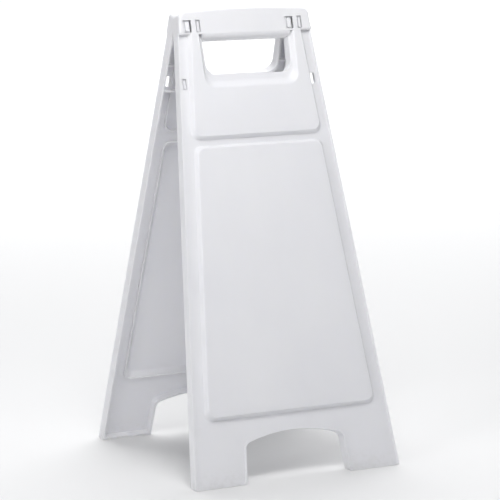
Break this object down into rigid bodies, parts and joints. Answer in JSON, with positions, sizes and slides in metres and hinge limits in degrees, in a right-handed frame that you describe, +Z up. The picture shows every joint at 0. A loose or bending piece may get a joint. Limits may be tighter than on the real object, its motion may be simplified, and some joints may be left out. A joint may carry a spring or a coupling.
{
  "type": "sandwich board",
  "caption": "Free-standing white plastic A-frame sign stand: hinged panels with raised sign faces, a carrying bar over a hand hole, and arched feet.",
  "frame": {"origin": "floor level, in the middle between the two panels, below the hinge axis", "axes": "+Z up, +X across the panels to the right as seen from the front, -Y towards the front panel's side"},
  "size_m": [0.3142, 0.354, 0.6406],
  "materials": {
    "panel": "satin moulded polypropylene with a fine grain",
    "hinge_and_latch": "satin moulded polypropylene, smooth",
    "hinge_pin": "smooth acetal"
  },
  "bodies": {
    "front": {"front_panel": "panel", "front_hinge_hook_left_outer": "hinge_and_latch", "front_hinge_hook_left_inner": "hinge_and_latch", "front_hinge_hook_right_inner": "hinge_and_latch", "front_hinge_hook_right_outer": "hinge_and_latch", "front_latch": "hinge_and_latch", "left_hinge_pin": "hinge_pin", "right_hinge_pin": "hinge_pin"},
    "rear": {"rear_panel": "panel", "rear_hinge_hook_left_outer": "hinge_and_latch", "rear_hinge_hook_left_inner": "hinge_and_latch", "rear_hinge_hook_right_inner": "hinge_and_latch", "rear_hinge_hook_right_outer": "hinge_and_latch", "rear_latch": "hinge_and_latch"}
  },
  "joints": [
    {"name": "hinge", "type": "hinge", "parent": "front", "child": "rear", "pos_m": [0, 0, 0.612], "axis": [1, 0, 0], "range_deg": [-29, 0]}
  ]
}
